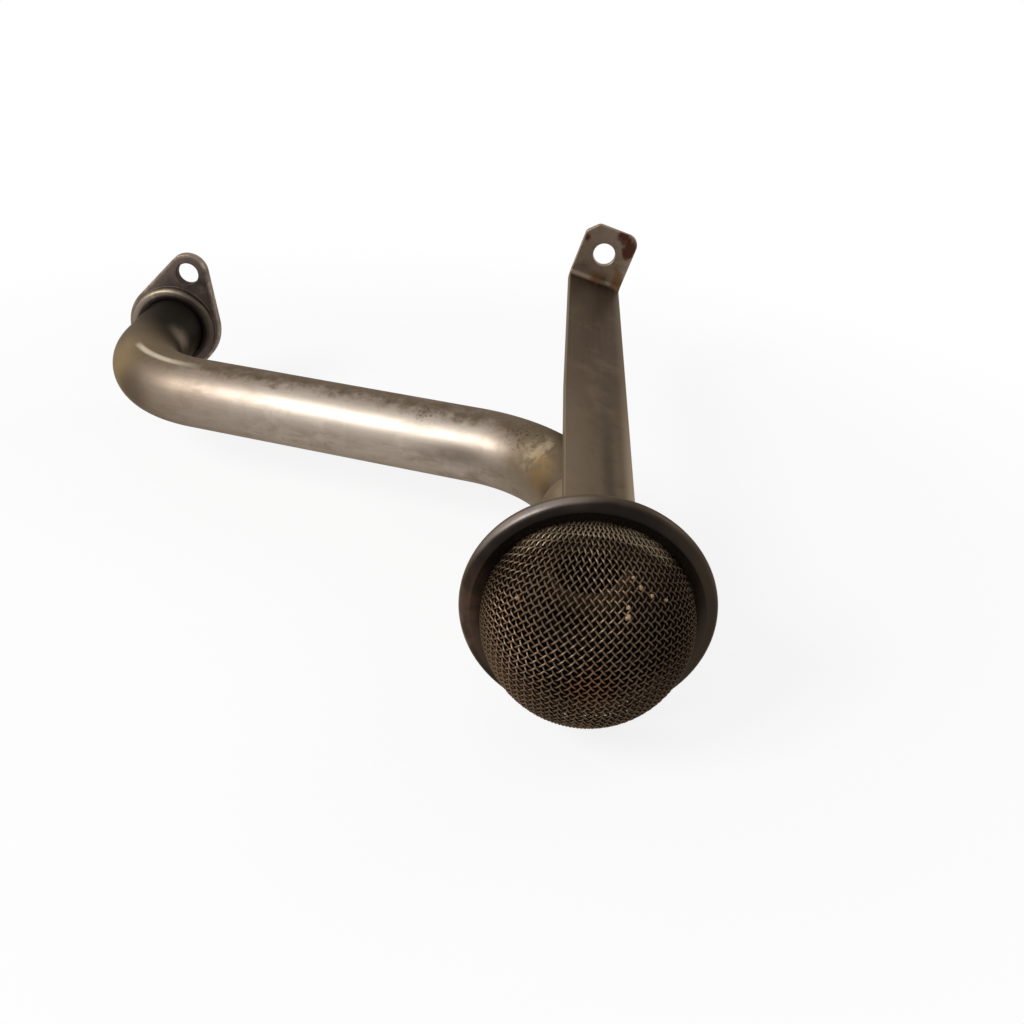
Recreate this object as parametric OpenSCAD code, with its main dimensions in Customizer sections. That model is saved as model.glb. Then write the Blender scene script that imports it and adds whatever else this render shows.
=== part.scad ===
// Oil pickup tube: a bent steel suction tube with a brazed mounting flange at its outlet,
// a pressed strainer cup with a domed woven inlet screen at its inlet, and a support strut.
// Millimetres. The origin is the centre of the flange's mating face, which looks along +Y.
// The tube's centreline lies in the plane Z = 0 and the strainer opens towards -Y.

/* [Suction tube] */
// Outside diameter of the tube
tube_od = 20; // [16:0.5:24]
// Wall of the tube
tube_wall = 1.5; // [1:0.1:2.5]
// Straight length from the mating face to the outlet bend
outlet_straight = 25.2; // [16:0.2:50]
// Straight length between the two bends
main_straight = 87; // [60:1:130]
// Straight length from the inlet bend to the rim of the strainer
inlet_straight = 36.5; // [34.5:0.5:60]
// Angle of each of the two bends
bend_angle = 73.5; // [60:0.5:90]
// Centreline radius of the outlet bend
outlet_bend_r = 32; // [26:0.5:36]
// Centreline radius of the inlet bend
inlet_bend_r = 41.5; // [34:0.5:44]
// How far each face of the wall is drawn down in the bends
bend_thinning = 0.08; // [0.08:0.01:0.2]
// Length of the inlet end that sits in the strainer neck
tube_insert = 22; // [12:0.5:26]

/* [Mounting flange] */
// Thickness of the flange plate
flange_t = 3; // [2:0.25:6]
// Radius of the plate round the tube
flange_r = 14.75; // [13.5:0.25:18]
// Distance between the two bolt holes
bolt_span = 38; // [34:0.5:48]
// Diameter of the bolt holes
bolt_d = 7; // [5:0.1:9]
// Metal round each bolt hole
ear_rim = 2.8; // [2:0.1:5]
// Turn of the bolt line from vertical, towards +X
flange_turn = 18.5; // [-90:0.5:90]
// Outer radius of the raised collar
collar_r = 13.5; // [12.5:0.1:14]
// Height of the collar above the plate
collar_h = 3; // [2:0.25:6]
// Rounding of the collar's edge
collar_round = 1.2; // [0.4:0.1:1.6]

/* [Strainer cup] */
// Sheet of the cup
cup_t = 1.4; // [1:0.1:2]
// Width of the cup's brim, from its side wall to the middle of the rolled rim
cup_brim = 2.8; // [2:0.1:4]
// Depth of the cup behind the rim
cup_depth = 8; // [6:0.25:10]
// Rounding of the cup's rear shoulder
cup_round = 2.4; // [1.6:0.1:3]
// Wall of the neck that takes the tube
neck_wall = 1.4; // [1.2:0.1:2.5]
// End of the neck behind the rim
neck_end = 41; // [34:0.5:43.5]
// Length of the opened mouth of the neck
mouth_len = 8; // [5:0.5:10]
// Extra radius of the opened mouth
mouth_room = 0.6; // [0.5:0.1:0.8]

/* [Rim ring] */
// Width of the front lip, from its edge to the middle of the rolled rim
lip_w = 2.1; // [1.5:0.1:4]
// Radius of the rolled edge of the rim
roll_r = 2.5; // [2.3:0.1:3]
// Sheet of the ring
ring_t = 1; // [0.8:0.1:1.1]
// Gap between the front lip and the screen
lip_gap = 0.1; // [0.1:0.05:1]
// How far the lip falls back towards its inner edge
lip_fall = 0.5; // [0:0.1:0.7]

/* [Inlet screen] */
// Outer radius of the screen's dome
dome_r = 22.4; // [20:0.1:26]
// Centre of the dome in front of the rim
dome_forward = 3.4; // [2.5:0.1:6]
// Thickness of the screen, both ridges together
screen_t = 1.2; // [0.8:0.1:1.6]
// Distance between neighbouring ridges
ridge_pitch = 3.75; // [3.7:0.05:6]
// Width of one ridge
ridge_w = 1.5; // [1:0.1:2]
// Turn of the weave about the strainer's axis
weave_turn = 42; // [0:1:90]
// Thickness of the screen's flat brim
screen_brim_t = 0.7; // [0.5:0.05:0.8]

/* [Support strut] */
// Width of the strut
strut_w = 18; // [14:0.1:24]
// Sheet of the strut
strut_t = 2; // [1.5:0.1:3]
// Strut's tab behind the rim
strut_reach = 180.8; // [120:0.2:220]
// Turn of the strut about the strainer's axis
strut_turn = 18.2; // [-30:0.1:30]
// Sideways shift of the strut
strut_shift = -2.65; // [-4:0.05:4]
// How far the strut's left edge runs in at the rim
strut_taper = 1.1; // [0.5:0.1:3]
// Distance behind the rim where the strut has its full width
taper_end = 84.5; // [60:0.5:110]
// Inside radius of the fold
fold_r = 1.8; // [1:0.1:4]
// Length of the tab above the strut's face
tab_len = 19; // [15:0.25:26]
// Tab hole above the strut's face
tab_hole_up = 9.9; // [9:0.1:12]
// Sideways place of the tab's hole from the strut's middle
tab_hole_side = -0.45; // [-2:0.05:2]
// Diameter of the tab's hole
tab_hole_d = 7.3; // [5:0.1:9]
// Cut corner of the tab
tab_chamfer = 3.6; // [1:0.1:6]
// Rounded corner of the tab
tab_round = 3.8; // [1:0.1:6]

/* [Fits] */
// Radial gap of the brazed joints
braze_gap = 0.1; // [0.05:0.01:0.2]
// Gap between sheets inside the rolled rim
sheet_gap = 0.05; // [0.03:0.01:0.1]

/* [Hidden] */
$fn = 96;
// Small overrun of a cutting shape past the face that it opens
over = 1;
// Spare angle of a bend before its end is trimmed square
trim_angle = 3;
tube_r = tube_od / 2;
bore_r = tube_r - tube_wall;
bends_r = outlet_bend_r + inlet_bend_r;
// The strainer's axis runs along Y at this X, with its rim at this Y
axis_x = bends_r * (1 - cos(bend_angle)) + main_straight * sin(bend_angle);
rim_y = -outlet_straight - bends_r * sin(bend_angle) - main_straight * cos(bend_angle) - inlet_straight;
// Inlet end of the tube, measured back from the rim
tube_end = neck_end - tube_insert;
neck_bore_r = tube_r + braze_gap;
neck_r = neck_bore_r + neck_wall;
ear_r = bolt_d / 2 + ear_rim;
// The lip clears the screen, and the brims of the cup and the screen reach the middle of the rolled rim
lip_r = dome_r + lip_gap;
roll_x = lip_r + lip_w;
rim_r = roll_x + roll_r;
cup_r = roll_x - cup_brim;
brim_r = roll_x - sheet_gap;
// The strut lies along the neck and stands on the cup's shoulder
strut_low = neck_r + braze_gap;
strut_foot = cup_depth + braze_gap;
tab_top = strut_low + strut_t + tab_len;
ridge_count = ceil(dome_r / ridge_pitch);

// Section of the tube's wall, thinner on both faces where a bend has drawn it down
module tube_section(thinning) {
    difference() {
        circle(tube_r - thinning);
        circle(bore_r + thinning);
    }
}

// A straight length of tube along +Y, with its children at the far end
module tube_straight(length) {
    rotate([-90, 0, 0])
        linear_extrude(length)
            tube_section(0);
    translate([0, length, 0])
        children();
}

// The far end of a bend that starts along +Y and turns left
module bend_end(radius) {
    translate([-radius, 0, 0])
        rotate([0, 0, bend_angle])
            translate([radius, 0, 0])
                children();
}

// A bend that turns left, trimmed square at its far end, with its children there
module tube_bend(radius) {
    difference() {
        translate([-radius, 0, 0])
            rotate_extrude(angle = bend_angle + trim_angle)
                translate([radius, 0])
                    tube_section(bend_thinning);
        bend_end(radius)
            translate([-tube_r - over, 0, -tube_r - over])
                cube(2 * (tube_r + over));
    }
    bend_end(radius)
        children();
}

// Places its children in the strainer's own frame: +Y runs back from the rim along the axis
module at_strainer() {
    translate([axis_x, rim_y, 0])
        children();
}

// Turns a section of radius and distance behind the rim about the strainer's axis
module revolve_strainer() {
    at_strainer()
        rotate([-90, 0, 0])
            rotate_extrude()
                children();
}

// Rectangle between two radii and two distances behind the rim
module band(r_in, r_out, from, to) {
    translate([r_in, from])
        square([r_out - r_in, to - from]);
}

module suction_tube() {
    color("#9c917f")
        rotate([0, 0, 180])
            tube_straight(outlet_straight)
                tube_bend(outlet_bend_r)
                    tube_straight(main_straight)
                        mirror([1, 0, 0])
                            tube_bend(inlet_bend_r)
                                tube_straight(inlet_straight - tube_end);
}

// The plate's outline, with the bolt line along its own X
module flange_outline() {
    ear_x = bolt_span / 2;
    // Angle from the bolt line to the points where a straight side meets its two circles
    lean = acos((flange_r - ear_r) / ear_x);
    circle(flange_r);
    for (side = [-1, 1]) {
        translate([side * ear_x, 0])
            circle(ear_r);
        polygon([
            [side * flange_r * cos(lean), flange_r * sin(lean)],
            [side * (ear_x + ear_r * cos(lean)), ear_r * sin(lean)],
            [side * (ear_x + ear_r * cos(lean)), -ear_r * sin(lean)],
            [side * flange_r * cos(lean), -flange_r * sin(lean)]
        ]);
    }
}

// The collar's half section, with its outer top corner rounded
module collar_section() {
    square([collar_r - collar_round, flange_t + collar_h]);
    square([collar_r, flange_t + collar_h - collar_round]);
    translate([collar_r - collar_round, flange_t + collar_h - collar_round])
        circle(collar_round);
}

module mounting_flange() {
    color("#5f564f")
        rotate([90, 0, 0])
            difference() {
                union() {
                    rotate([0, 0, 90 - flange_turn])
                        linear_extrude(flange_t)
                            flange_outline();
                    rotate_extrude()
                        collar_section();
                }
                translate([0, 0, -over])
                    cylinder(h = flange_t + collar_h + 2 * over, r = tube_r + braze_gap);
                for (side = [-1, 1])
                    rotate([0, 0, 90 - flange_turn])
                        translate([side * bolt_span / 2, 0, -over])
                            cylinder(h = flange_t + 2 * over, d = bolt_d);
            }
}

// The cup without its neck, from a distance in front of the rim to its rounded shoulder, under an inset
module cup_form(inset, front) {
    wall_r = cup_r - inset;
    back = cup_depth - inset;
    turn_r = cup_round - inset;
    band(0, wall_r, front, back - turn_r);
    band(0, wall_r - turn_r, front, back);
    translate([wall_r - turn_r, back - turn_r])
        circle(turn_r);
}

module strainer_cup() {
    color("#57504a")
        revolve_strainer()
            difference() {
                union() {
                    cup_form(0, sheet_gap);
                    band(0, brim_r, sheet_gap, sheet_gap + cup_t);
                    band(0, neck_r, sheet_gap, neck_end);
                }
                cup_form(cup_t, -over);
                band(0, neck_bore_r, -over, neck_end + over);
                band(0, neck_bore_r + mouth_room, neck_end - mouth_len, neck_end + over);
            }
}

// The outer half of a round section at the middle of the rolled edge
module roll_half(radius) {
    intersection() {
        translate([roll_x, 0])
            circle(radius);
        band(roll_x, rim_r + over, -roll_r - over, roll_r + over);
    }
}

// The rolled edge closes over the brims of the cup and the screen, with its lip in front
module rim_ring() {
    lip_front = lip_fall - roll_r;
    color("#4a433d")
        revolve_strainer() {
            difference() {
                roll_half(roll_r);
                roll_half(roll_r - ring_t);
            }
            band(cup_r + sheet_gap, roll_x, roll_r - ring_t, roll_r);
            polygon([
                [roll_x, -roll_r],
                [roll_x, ring_t - roll_r],
                [lip_r, lip_front + ring_t],
                [lip_r, lip_front]
            ]);
        }
}

// A shell of the dome between two depths under its outer face, cut off at the dome's centre
module dome_shell(top, bottom) {
    rotate([-90, 0, 0])
        rotate_extrude()
            intersection() {
                difference() {
                    circle(dome_r - top);
                    circle(dome_r - bottom);
                }
                translate([0, -dome_r])
                    square(dome_r);
            }
}

// Parallel slabs that cut one family of ridges out of a shell
module ridge_slabs() {
    for (i = [-ridge_count:ridge_count])
        translate([i * ridge_pitch - ridge_w / 2, -dome_r - over, -dome_r])
            cube([ridge_w, dome_r + 2 * over, 2 * dome_r]);
}

module inlet_screen() {
    color("#3d342c") {
        at_strainer()
            translate([0, -dome_forward, 0]) {
                intersection() {
                    dome_shell(0, 2 * screen_t / 3);
                    rotate([0, weave_turn, 0])
                        ridge_slabs();
                }
                intersection() {
                    dome_shell(screen_t / 3, screen_t);
                    rotate([0, weave_turn + 90, 0])
                        ridge_slabs();
                }
            }
        revolve_strainer() {
            band(dome_r - screen_t, dome_r, -dome_forward - screen_t, 0);
            band(dome_r - screen_t, brim_r, -screen_brim_t, 0);
        }
    }
}

// Side view of the strut: distance behind the rim, then height from the strainer's axis
module strut_side() {
    bend_y = strut_reach - fold_r;
    bend_z = strut_low + strut_t + fold_r;
    translate([strut_foot, strut_low])
        square([bend_y - strut_foot, strut_t]);
    translate([strut_reach, bend_z])
        square([strut_t, tab_top - bend_z]);
    intersection() {
        translate([bend_y, bend_z])
            difference() {
                circle(fold_r + strut_t);
                circle(fold_r);
            }
        translate([bend_y, strut_low])
            square(fold_r + strut_t);
    }
}

// Front view of the strut with one cut and one rounded top corner
module strut_front() {
    half = strut_w / 2;
    difference() {
        polygon([
            [-half, 0],
            [half, 0],
            [half, tab_top],
            [tab_chamfer - half, tab_top],
            [-half, tab_top - tab_chamfer]
        ]);
        difference() {
            translate([half - tab_round, tab_top - tab_round])
                square(tab_round + over);
            translate([half - tab_round, tab_top - tab_round])
                circle(tab_round);
        }
        translate([tab_hole_side, strut_low + strut_t + tab_hole_up])
            circle(d = tab_hole_d);
    }
}

// Wedge that narrows the strut's left edge from its full width to its foot
module taper_wedge() {
    edge = -strut_w / 2;
    translate([0, 0, strut_low - over])
        linear_extrude(strut_t + 2 * over)
            polygon([
                [edge + strut_taper, 0],
                [edge - strut_taper, 2 * taper_end],
                [edge - strut_taper - over, 2 * taper_end],
                [edge - strut_taper - over, 0]
            ]);
}

module support_strut() {
    color("#8a7d6b")
        at_strainer()
            rotate([0, strut_turn, 0])
                translate([strut_shift, 0, 0])
                    difference() {
                        intersection() {
                            rotate([90, 0, 90])
                                translate([0, 0, -strut_w / 2])
                                    linear_extrude(strut_w)
                                        strut_side();
                            translate([0, strut_reach + strut_t + over, 0])
                                rotate([90, 0, 0])
                                    linear_extrude(strut_reach + strut_t + 2 * over)
                                        strut_front();
                        }
                        taper_wedge();
                    }
}

suction_tube();
mounting_flange();
strainer_cup();
rim_ring();
inlet_screen();
support_strut();
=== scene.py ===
"""Oil pickup tube: the finishes of the steel pieces, the woven inlet screen, and a plain studio.

Metres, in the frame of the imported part: the flange's mating face is at the origin and looks along +Y,
the tube lies in the plane Z = 0, and the strainer opens towards -Y.
"""
import math

import bmesh
import bpy
import numpy as np
from mathutils import Matrix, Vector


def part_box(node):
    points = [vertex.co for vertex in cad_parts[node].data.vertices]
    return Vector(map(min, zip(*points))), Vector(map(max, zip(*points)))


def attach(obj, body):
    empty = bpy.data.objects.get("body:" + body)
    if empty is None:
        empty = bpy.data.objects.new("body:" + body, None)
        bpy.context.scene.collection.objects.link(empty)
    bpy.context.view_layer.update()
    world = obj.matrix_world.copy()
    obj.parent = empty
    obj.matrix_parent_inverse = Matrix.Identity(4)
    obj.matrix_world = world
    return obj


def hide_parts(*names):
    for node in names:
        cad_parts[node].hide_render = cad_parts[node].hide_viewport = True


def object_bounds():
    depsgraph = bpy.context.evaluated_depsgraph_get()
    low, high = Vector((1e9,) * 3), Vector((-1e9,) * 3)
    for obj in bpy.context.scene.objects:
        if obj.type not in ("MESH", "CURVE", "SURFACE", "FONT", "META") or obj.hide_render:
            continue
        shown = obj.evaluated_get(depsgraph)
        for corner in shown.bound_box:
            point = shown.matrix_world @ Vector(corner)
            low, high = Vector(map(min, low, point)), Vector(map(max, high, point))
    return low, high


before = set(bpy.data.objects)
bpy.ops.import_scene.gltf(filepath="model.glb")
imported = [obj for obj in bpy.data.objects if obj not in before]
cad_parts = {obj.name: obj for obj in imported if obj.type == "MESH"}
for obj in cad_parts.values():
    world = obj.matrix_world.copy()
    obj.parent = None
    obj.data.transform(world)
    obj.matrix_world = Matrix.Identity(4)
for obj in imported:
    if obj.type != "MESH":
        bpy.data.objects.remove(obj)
CAD_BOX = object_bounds()
MM = 0.001
SEED = 20

# Places taken from the frame
RIM_LOW, RIM_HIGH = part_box("rim_ring")
RIM_CENTRE = (np.array(RIM_LOW) + np.array(RIM_HIGH)) / 2
RIM_R = (RIM_HIGH.x - RIM_LOW.x) / 2
SCREEN_LOW, SCREEN_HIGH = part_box("inlet_screen")
STRUT_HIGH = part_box("support_strut")[1]
FLANGE_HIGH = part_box("mounting_flange")[1]
TUBE_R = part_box("suction_tube")[1].z

# The tube's centreline: straight lengths and bends in turn, from the flange's face
BEND_TURN = math.radians(73.5)
OUTLET_LENGTH = 25.2 * MM
MAIN_LENGTH = 87 * MM
INLET_LENGTH = 17.5 * MM
OUTLET_BEND_R = 32 * MM
INLET_BEND_R = 41.5 * MM

# The tube's wall, and the sides and steps of its mesh
BORE_R = TUBE_R - 1.5 * MM
TUBE_SIDES = 72
TUBE_STEP = 1.6 * MM

# Stains on the tube, and two painted highlights (the pale blot by the strut and the pale patch at the outlet
# end):
# the place in millimetres along it, to its front and up, and the distances from there in millimetres where
# the mark is still full and where it ends
TUBE_STAINS_AND_HIGHLIGHTS = {
    "pits_run": ((141, 4.2, 9), 0.5, 5.5),
    "pits_bend": ((171, 3.4, 9.4), 1, 9),
    "tan_side": ((42, 9, 4), 2, 12),
    "grey_side": ((52, 10, 0), 2, 9),
    # Painted highlight
    "highlight_blot": ((180, 5.7, 8.2), 1, 9),
    "ochre": ((186, 8, 6), 2, 11),
    # Painted highlight
    "end_highlight": ((24, -9.1, 4.1), 0, 7),
}

# The flange: its turn about the tube, the arcs of its outline, and how far in from the outline the wear on
# its edge ends and is full
FLANGE_TURN = math.radians(18.5)
FLANGE_R = 14.75 * MM
BOLT_REACH = 19 * MM
EAR_R = 6.3 * MM
EDGE_WEAR = (1.1 * MM, 0.3 * MM)

# The strut: its turn about the strainer's axis, and the front face of its tab
STRUT_TURN = math.radians(18.2)
TAB_FACE_Y = STRUT_HIGH.y - RIM_CENTRE[1] - 2 * MM

# Spots on the tab, in millimetres: across and up from the strainer's centre, and the radius
CORNER_RUST = [(3.9, 29.2, 5), (4.2, 26.2, 4), (0.4, 31.3, 4), (-10.6, 26.9, 3.4)]
FOLD_RUST = [(-2.4, 15.2, 4.6), (3.6, 18.4, 4.2), (5.2, 15, 4.4)]
# The spots along the fold are painted highlights
FOLD_HIGHLIGHTS = [(-10.5, 14.8, 3), (-8, 14.8, 3), (-5.5, 14.8, 3)]

# Eased edges: how far they are cut back and in how many steps, which edges count as sharp, and which are
# the corners of the cut on the tab
FLANGE_EASE = 0.4 * MM
STRUT_EASE = 0.45 * MM
EASE_STEPS = 3
CUT_EASE = 0.8 * MM
CUT_STEPS = 5
SHARP_ANGLE = math.radians(40)
CUT_ANGLES = (math.radians(35), math.radians(55))
CUT_DEPTH = 1.5 * MM

# Mesh angles and distances: faces in one plane, points in one place, and edges that stay crisp in shading
FLAT_ANGLE = math.radians(0.5)
MERGE = 0.001 * MM
CRISP_ANGLE = math.radians(50)

# The woven screen, the sides and steps of its mesh, the wires that the net has to spare before it is cut at
# the brim, and the fewest points that make a wire
DOME_R = 22.4 * MM
WIRE_R = 0.2 * MM
WIRE_SIDES = 6
WEAVE_PITCH = 1.3 * MM
WEAVE_STEPS = 3
WEAVE_TURN = math.radians(42)
SPARE_WIRES = 3
SHORTEST_WIRE = 4
BRIM_T = 0.7 * MM
BRIM_STEPS = 96
DOME_CENTRE = np.array([RIM_CENTRE[0], SCREEN_LOW.y + DOME_R, RIM_CENTRE[2]])

# Crumbs in the screen: the pixel where the photograph shows each one and its radius in millimetres, how
# uneven they are and how far they sink in, as shares of that radius, and the rings and sides of their mesh
CRUMBS = [((516, 597), 0.62), ((642, 587), 0.6), ((653, 596), 0.5), ((667, 600), 0.42),
          ((629, 607), 0.5), ((629, 617), 0.68), ((634, 577), 0.4)]
CRUMB_UNEVEN = (0.7, 1.15)
CRUMB_SINK = 0.8
CRUMB_ROWS = 5
CRUMB_COLUMNS = 8

# The camera, as the photograph's perspective gives it
CAMERA_AT = np.array([127.05, -358.5, 134.0]) * MM
CAMERA_DOWN = math.radians(28.95)
CAMERA_LEFT = math.radians(2.15)
CAMERA_ROLL = math.radians(-2.19)
CAMERA_LENS = 40.43
SENSOR = 36.0
IMAGE = 1024

# The studio: the floor with its white, and the share and the reach of its shadow, the world's strength on
# surfaces, and each lamp's place, size and power
FLOOR_HALF = 6.0
FLOOR_GAP = 0.2 * MM
FLOOR_WHITE = (0.92, 0.92, 0.92, 1)
SHADOW_SHARE = 0.16
SHADOW_REACH = (0.14, 0.3)
WORLD_LIGHT = 0.42
LAMP_AIM = (RIM_CENTRE[0] * 0.6, RIM_CENTRE[1] * 0.6, 0)
LAMPS = {
    "key": ((-0.42, -0.5, 0.5), (0.36, 0.3), 4.7),
    "back": ((0.7, 0.3, 0.4), (0.4, 0.4), 0.8),
}


# Camera and lamps

def pose(right, up, back, at):
    """The matrix that puts a camera or a lamp at a place, with these three axes."""
    matrix = np.eye(4)
    matrix[:3] = np.column_stack([right, up, back, at])
    return Matrix(matrix.tolist())


def camera_axes():
    """Right, up and forward of the camera: forward is turned left and down, and up is rolled about it."""
    forward = np.array([
        -math.sin(CAMERA_LEFT) * math.cos(CAMERA_DOWN),
        math.cos(CAMERA_LEFT) * math.cos(CAMERA_DOWN),
        -math.sin(CAMERA_DOWN),
    ])
    level = np.cross(forward, (0, 0, 1))
    level /= np.linalg.norm(level)
    upright = np.cross(level, forward)
    up = math.cos(CAMERA_ROLL) * upright + math.sin(CAMERA_ROLL) * level
    return np.cross(forward, up), up, forward


def add_camera():
    """The camera at the photograph's place, with its lens across the width of the frame."""
    right, up, forward = camera_axes()
    data = bpy.data.cameras.new("camera")
    data.lens = CAMERA_LENS
    data.sensor_width = SENSOR
    data.sensor_fit = "HORIZONTAL"
    camera = bpy.data.objects.new("camera", data)
    camera.matrix_world = pose(right, up, -forward, CAMERA_AT)
    bpy.context.scene.collection.objects.link(camera)
    bpy.context.scene.camera = camera


def add_lamp(name, at, size, power):
    """A rectangular area lamp at a place, aimed at the part."""
    data = bpy.data.lights.new(name, "AREA")
    data.shape = "RECTANGLE"
    data.size, data.size_y = size
    data.energy = power
    lamp = bpy.data.objects.new(name, data)
    back = np.array(at) - np.array(LAMP_AIM)
    back /= np.linalg.norm(back)
    side = np.cross((0, 0, 1), back)
    side /= np.linalg.norm(side)
    lamp.matrix_world = pose(side, np.cross(back, side), back, at)
    bpy.context.scene.collection.objects.link(lamp)


# Shader maths

class Value:
    """A shader socket whose operators add Math nodes, so that sums on a surface read as plain expressions."""

    def __init__(self, finish, socket):
        self.finish = finish
        self.socket = socket

    def math(self, operation, *operands, clamp=False):
        """The result of a Math node on these operands."""
        return self.finish.node("ShaderNodeMath", {"operation": operation, "use_clamp": clamp},
                                dict(enumerate(operands)))

    def __add__(self, other):
        return self.math("ADD", self, other)

    def __sub__(self, other):
        return self.math("SUBTRACT", self, other)

    def __rsub__(self, other):
        return self.math("SUBTRACT", other, self)

    def __mul__(self, other):
        return self.math("MULTIPLY", self, other)

    def __truediv__(self, other):
        return self.math("DIVIDE", self, other)

    __radd__ = __add__
    __rmul__ = __mul__

    def clamp(self):
        """The value held between 0 and 1."""
        return self.math("ADD", self, 0.0, clamp=True)

    def greatest(self, other):
        """The larger of two values."""
        return self.math("MAXIMUM", self, other)

    def size(self):
        """The value without its sign."""
        return self.math("ABSOLUTE", self)


class Finish:
    """A node tree of a material or the world, with helpers for the patterns that feed its shader."""

    def __init__(self, name, tree=None):
        if tree is None:
            self.material = bpy.data.materials.new(name)
            self.material.use_nodes = True
            tree = self.material.node_tree
        self.tree = tree
        self.tree.nodes.clear()

    def node(self, kind, settings=None, sockets=None, out=0):
        """Any node: its settings first, then the values or links of its sockets. Gives one output."""
        made = self.tree.nodes.new(kind)
        for name, value in (settings or {}).items():
            setattr(made, name, value)
        for name, value in (sockets or {}).items():
            if isinstance(value, Value):
                self.tree.links.new(value.socket, made.inputs[name])
            else:
                made.inputs[name].default_value = value
        return Value(self, made.outputs[out])

    def place(self):
        """Where a point is in the part's own frame."""
        return self.node("ShaderNodeTexCoord", out="Object")

    def axis(self, vector, name):
        """One of a vector's three numbers."""
        return self.node("ShaderNodeSeparateXYZ", None, {"Vector": vector}, name)

    def stretched(self, vector, stretch):
        """The vector times a factor on each axis, where a small factor draws a pattern out along it."""
        return self.node("ShaderNodeVectorMath", {"operation": "MULTIPLY"}, {0: vector, 1: stretch})

    def turned(self, vector, centre, turn=(0, 0, 0)):
        """The vector from a centre, turned, as a piece's own coordinates."""
        return self.node("ShaderNodeMapping", {"vector_type": "TEXTURE"},
                         {"Vector": vector, "Location": tuple(centre), "Rotation": turn})

    def distance(self, vector, point=(0, 0, 0)):
        """How far a vector is from a point."""
        return self.node("ShaderNodeVectorMath", {"operation": "DISTANCE"},
                         {0: vector, 1: tuple(float(c) for c in point)}, "Value")

    def noise(self, vector, scale, detail, rough, twist=0.0):
        """A cloudy pattern about 0.5, with this many waves to the metre at its coarsest."""
        return self.node("ShaderNodeTexNoise", {"noise_dimensions": "3D"},
                         {"Vector": vector, "Scale": scale, "Detail": detail, "Roughness": rough,
                          "Distortion": twist}, "Fac")

    def fade(self, value, low, high):
        """0 below one value and 1 above another, with a smooth step between.

        A high that is below the low turns the step round.
        """
        return self.node("ShaderNodeMapRange", {"interpolation_type": "SMOOTHSTEP"},
                         {"Value": value, "From Min": low, "From Max": high}, "Result")

    def near(self, vector, centre, inner, outer):
        """1 within a distance of a point, fading to 0 at a larger one."""
        return self.fade(self.distance(vector, centre), outer, inner)

    def spots(self, vector, places):
        """Soft round spots that run together.

        Each one fades from 1 at its centre to 0 at its radius, and they add up.
        """
        masks = [self.near(vector, centre, 0, radius) for centre, radius in places]
        return sum(masks[1:], masks[0])

    def mix(self, factor, first, second):
        """From the first colour to the second as the factor goes from 0 to 1."""
        return self.node("ShaderNodeMix", {"data_type": "RGBA"},
                         {"Factor": factor, 6: first, 7: second}, 2)

    def clouded(self, pattern, first, second):
        """From the first colour to the second in soft clouds of a noise pattern."""
        return self.mix(self.fade(pattern, 0.35, 0.65), first, second)

    def layered(self, colour, layers):
        """A colour under layers, from the lowest to the top one, each a mask and the colour it brings."""
        for mask, layer in layers:
            colour = self.mix(mask, colour, layer)
        return colour

    def bump(self, height, strength, distance):
        """The surface's direction, tilted by a height."""
        return self.node("ShaderNodeBump", None,
                         {"Height": height, "Strength": strength, "Distance": distance})

    def rays(self, *kinds):
        """1 for a ray of any of these kinds."""
        found = self.node("ShaderNodeLightPath", out=kinds[0])
        for kind in kinds[1:]:
            found = found.greatest(self.node("ShaderNodeLightPath", out=kind))
        return found

    def surface(self, **sockets):
        """Ends the material in a Principled shader with these sockets."""
        named = {name.replace("_", " "): value for name, value in sockets.items()}
        self.end(self.node("ShaderNodeBsdfPrincipled", None, named))
        return self.material

    def end(self, shader, kind="ShaderNodeOutputMaterial"):
        """Takes a shader to the tree's output."""
        out = self.tree.nodes.new(kind)
        self.tree.links.new(shader.socket, out.inputs["Surface"])


def paint(red, green, blue):
    """A screen colour from 0 to 255 as the shader's linear colour."""
    screen = np.array([red, green, blue]) / 255
    linear = np.where(screen <= 0.04045, screen / 12.92, ((screen + 0.055) / 1.055) ** 2.4)
    return (*linear.tolist(), 1.0)


# Studio

def add_world():
    """White for camera, glossy and transmitted rays, and a softer grey for the light on surfaces."""
    world = bpy.data.worlds.new("studio")
    world.use_nodes = True
    bpy.context.scene.world = world
    sky = Finish("studio", world.node_tree)
    seen = sky.rays("Is Camera Ray", "Is Glossy Ray", "Is Transmission Ray")
    strength = WORLD_LIGHT + (1 - WORLD_LIGHT) * seen
    back = sky.node("ShaderNodeBackground", None, {"Color": (1, 1, 1, 1), "Strength": strength})
    sky.end(back, "ShaderNodeOutputWorld")


def add_floor(height):
    """A wide pale floor: a matt white that takes the part's shadow, lifted to plain white away from it."""
    half = FLOOR_HALF
    mesh = bpy.data.meshes.new("floor")
    corners = [(-half, -half, height), (half, -half, height), (half, half, height), (-half, half, height)]
    mesh.from_pydata(corners, [], [(0, 1, 2, 3)])
    floor = bpy.data.objects.new("floor", mesh)
    bpy.context.scene.collection.objects.link(floor)
    pale = Finish("floor_white")
    seen = pale.rays("Is Camera Ray", "Is Glossy Ray")
    matt = pale.node("ShaderNodeBsdfDiffuse", None, {"Color": FLOOR_WHITE})
    lifted = pale.node("ShaderNodeEmission", None, {"Color": (1, 1, 1, 1), "Strength": 1.0})
    under = pale.near(pale.place(), (RIM_CENTRE[0] / 2, RIM_CENTRE[1] / 2, height), *SHADOW_REACH)
    share = seen * (1 - SHADOW_SHARE * under)
    pale.end(pale.node("ShaderNodeMixShader", None, {0: share, 1: matt, 2: lifted}))
    mesh.materials.append(pale.material)


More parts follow.
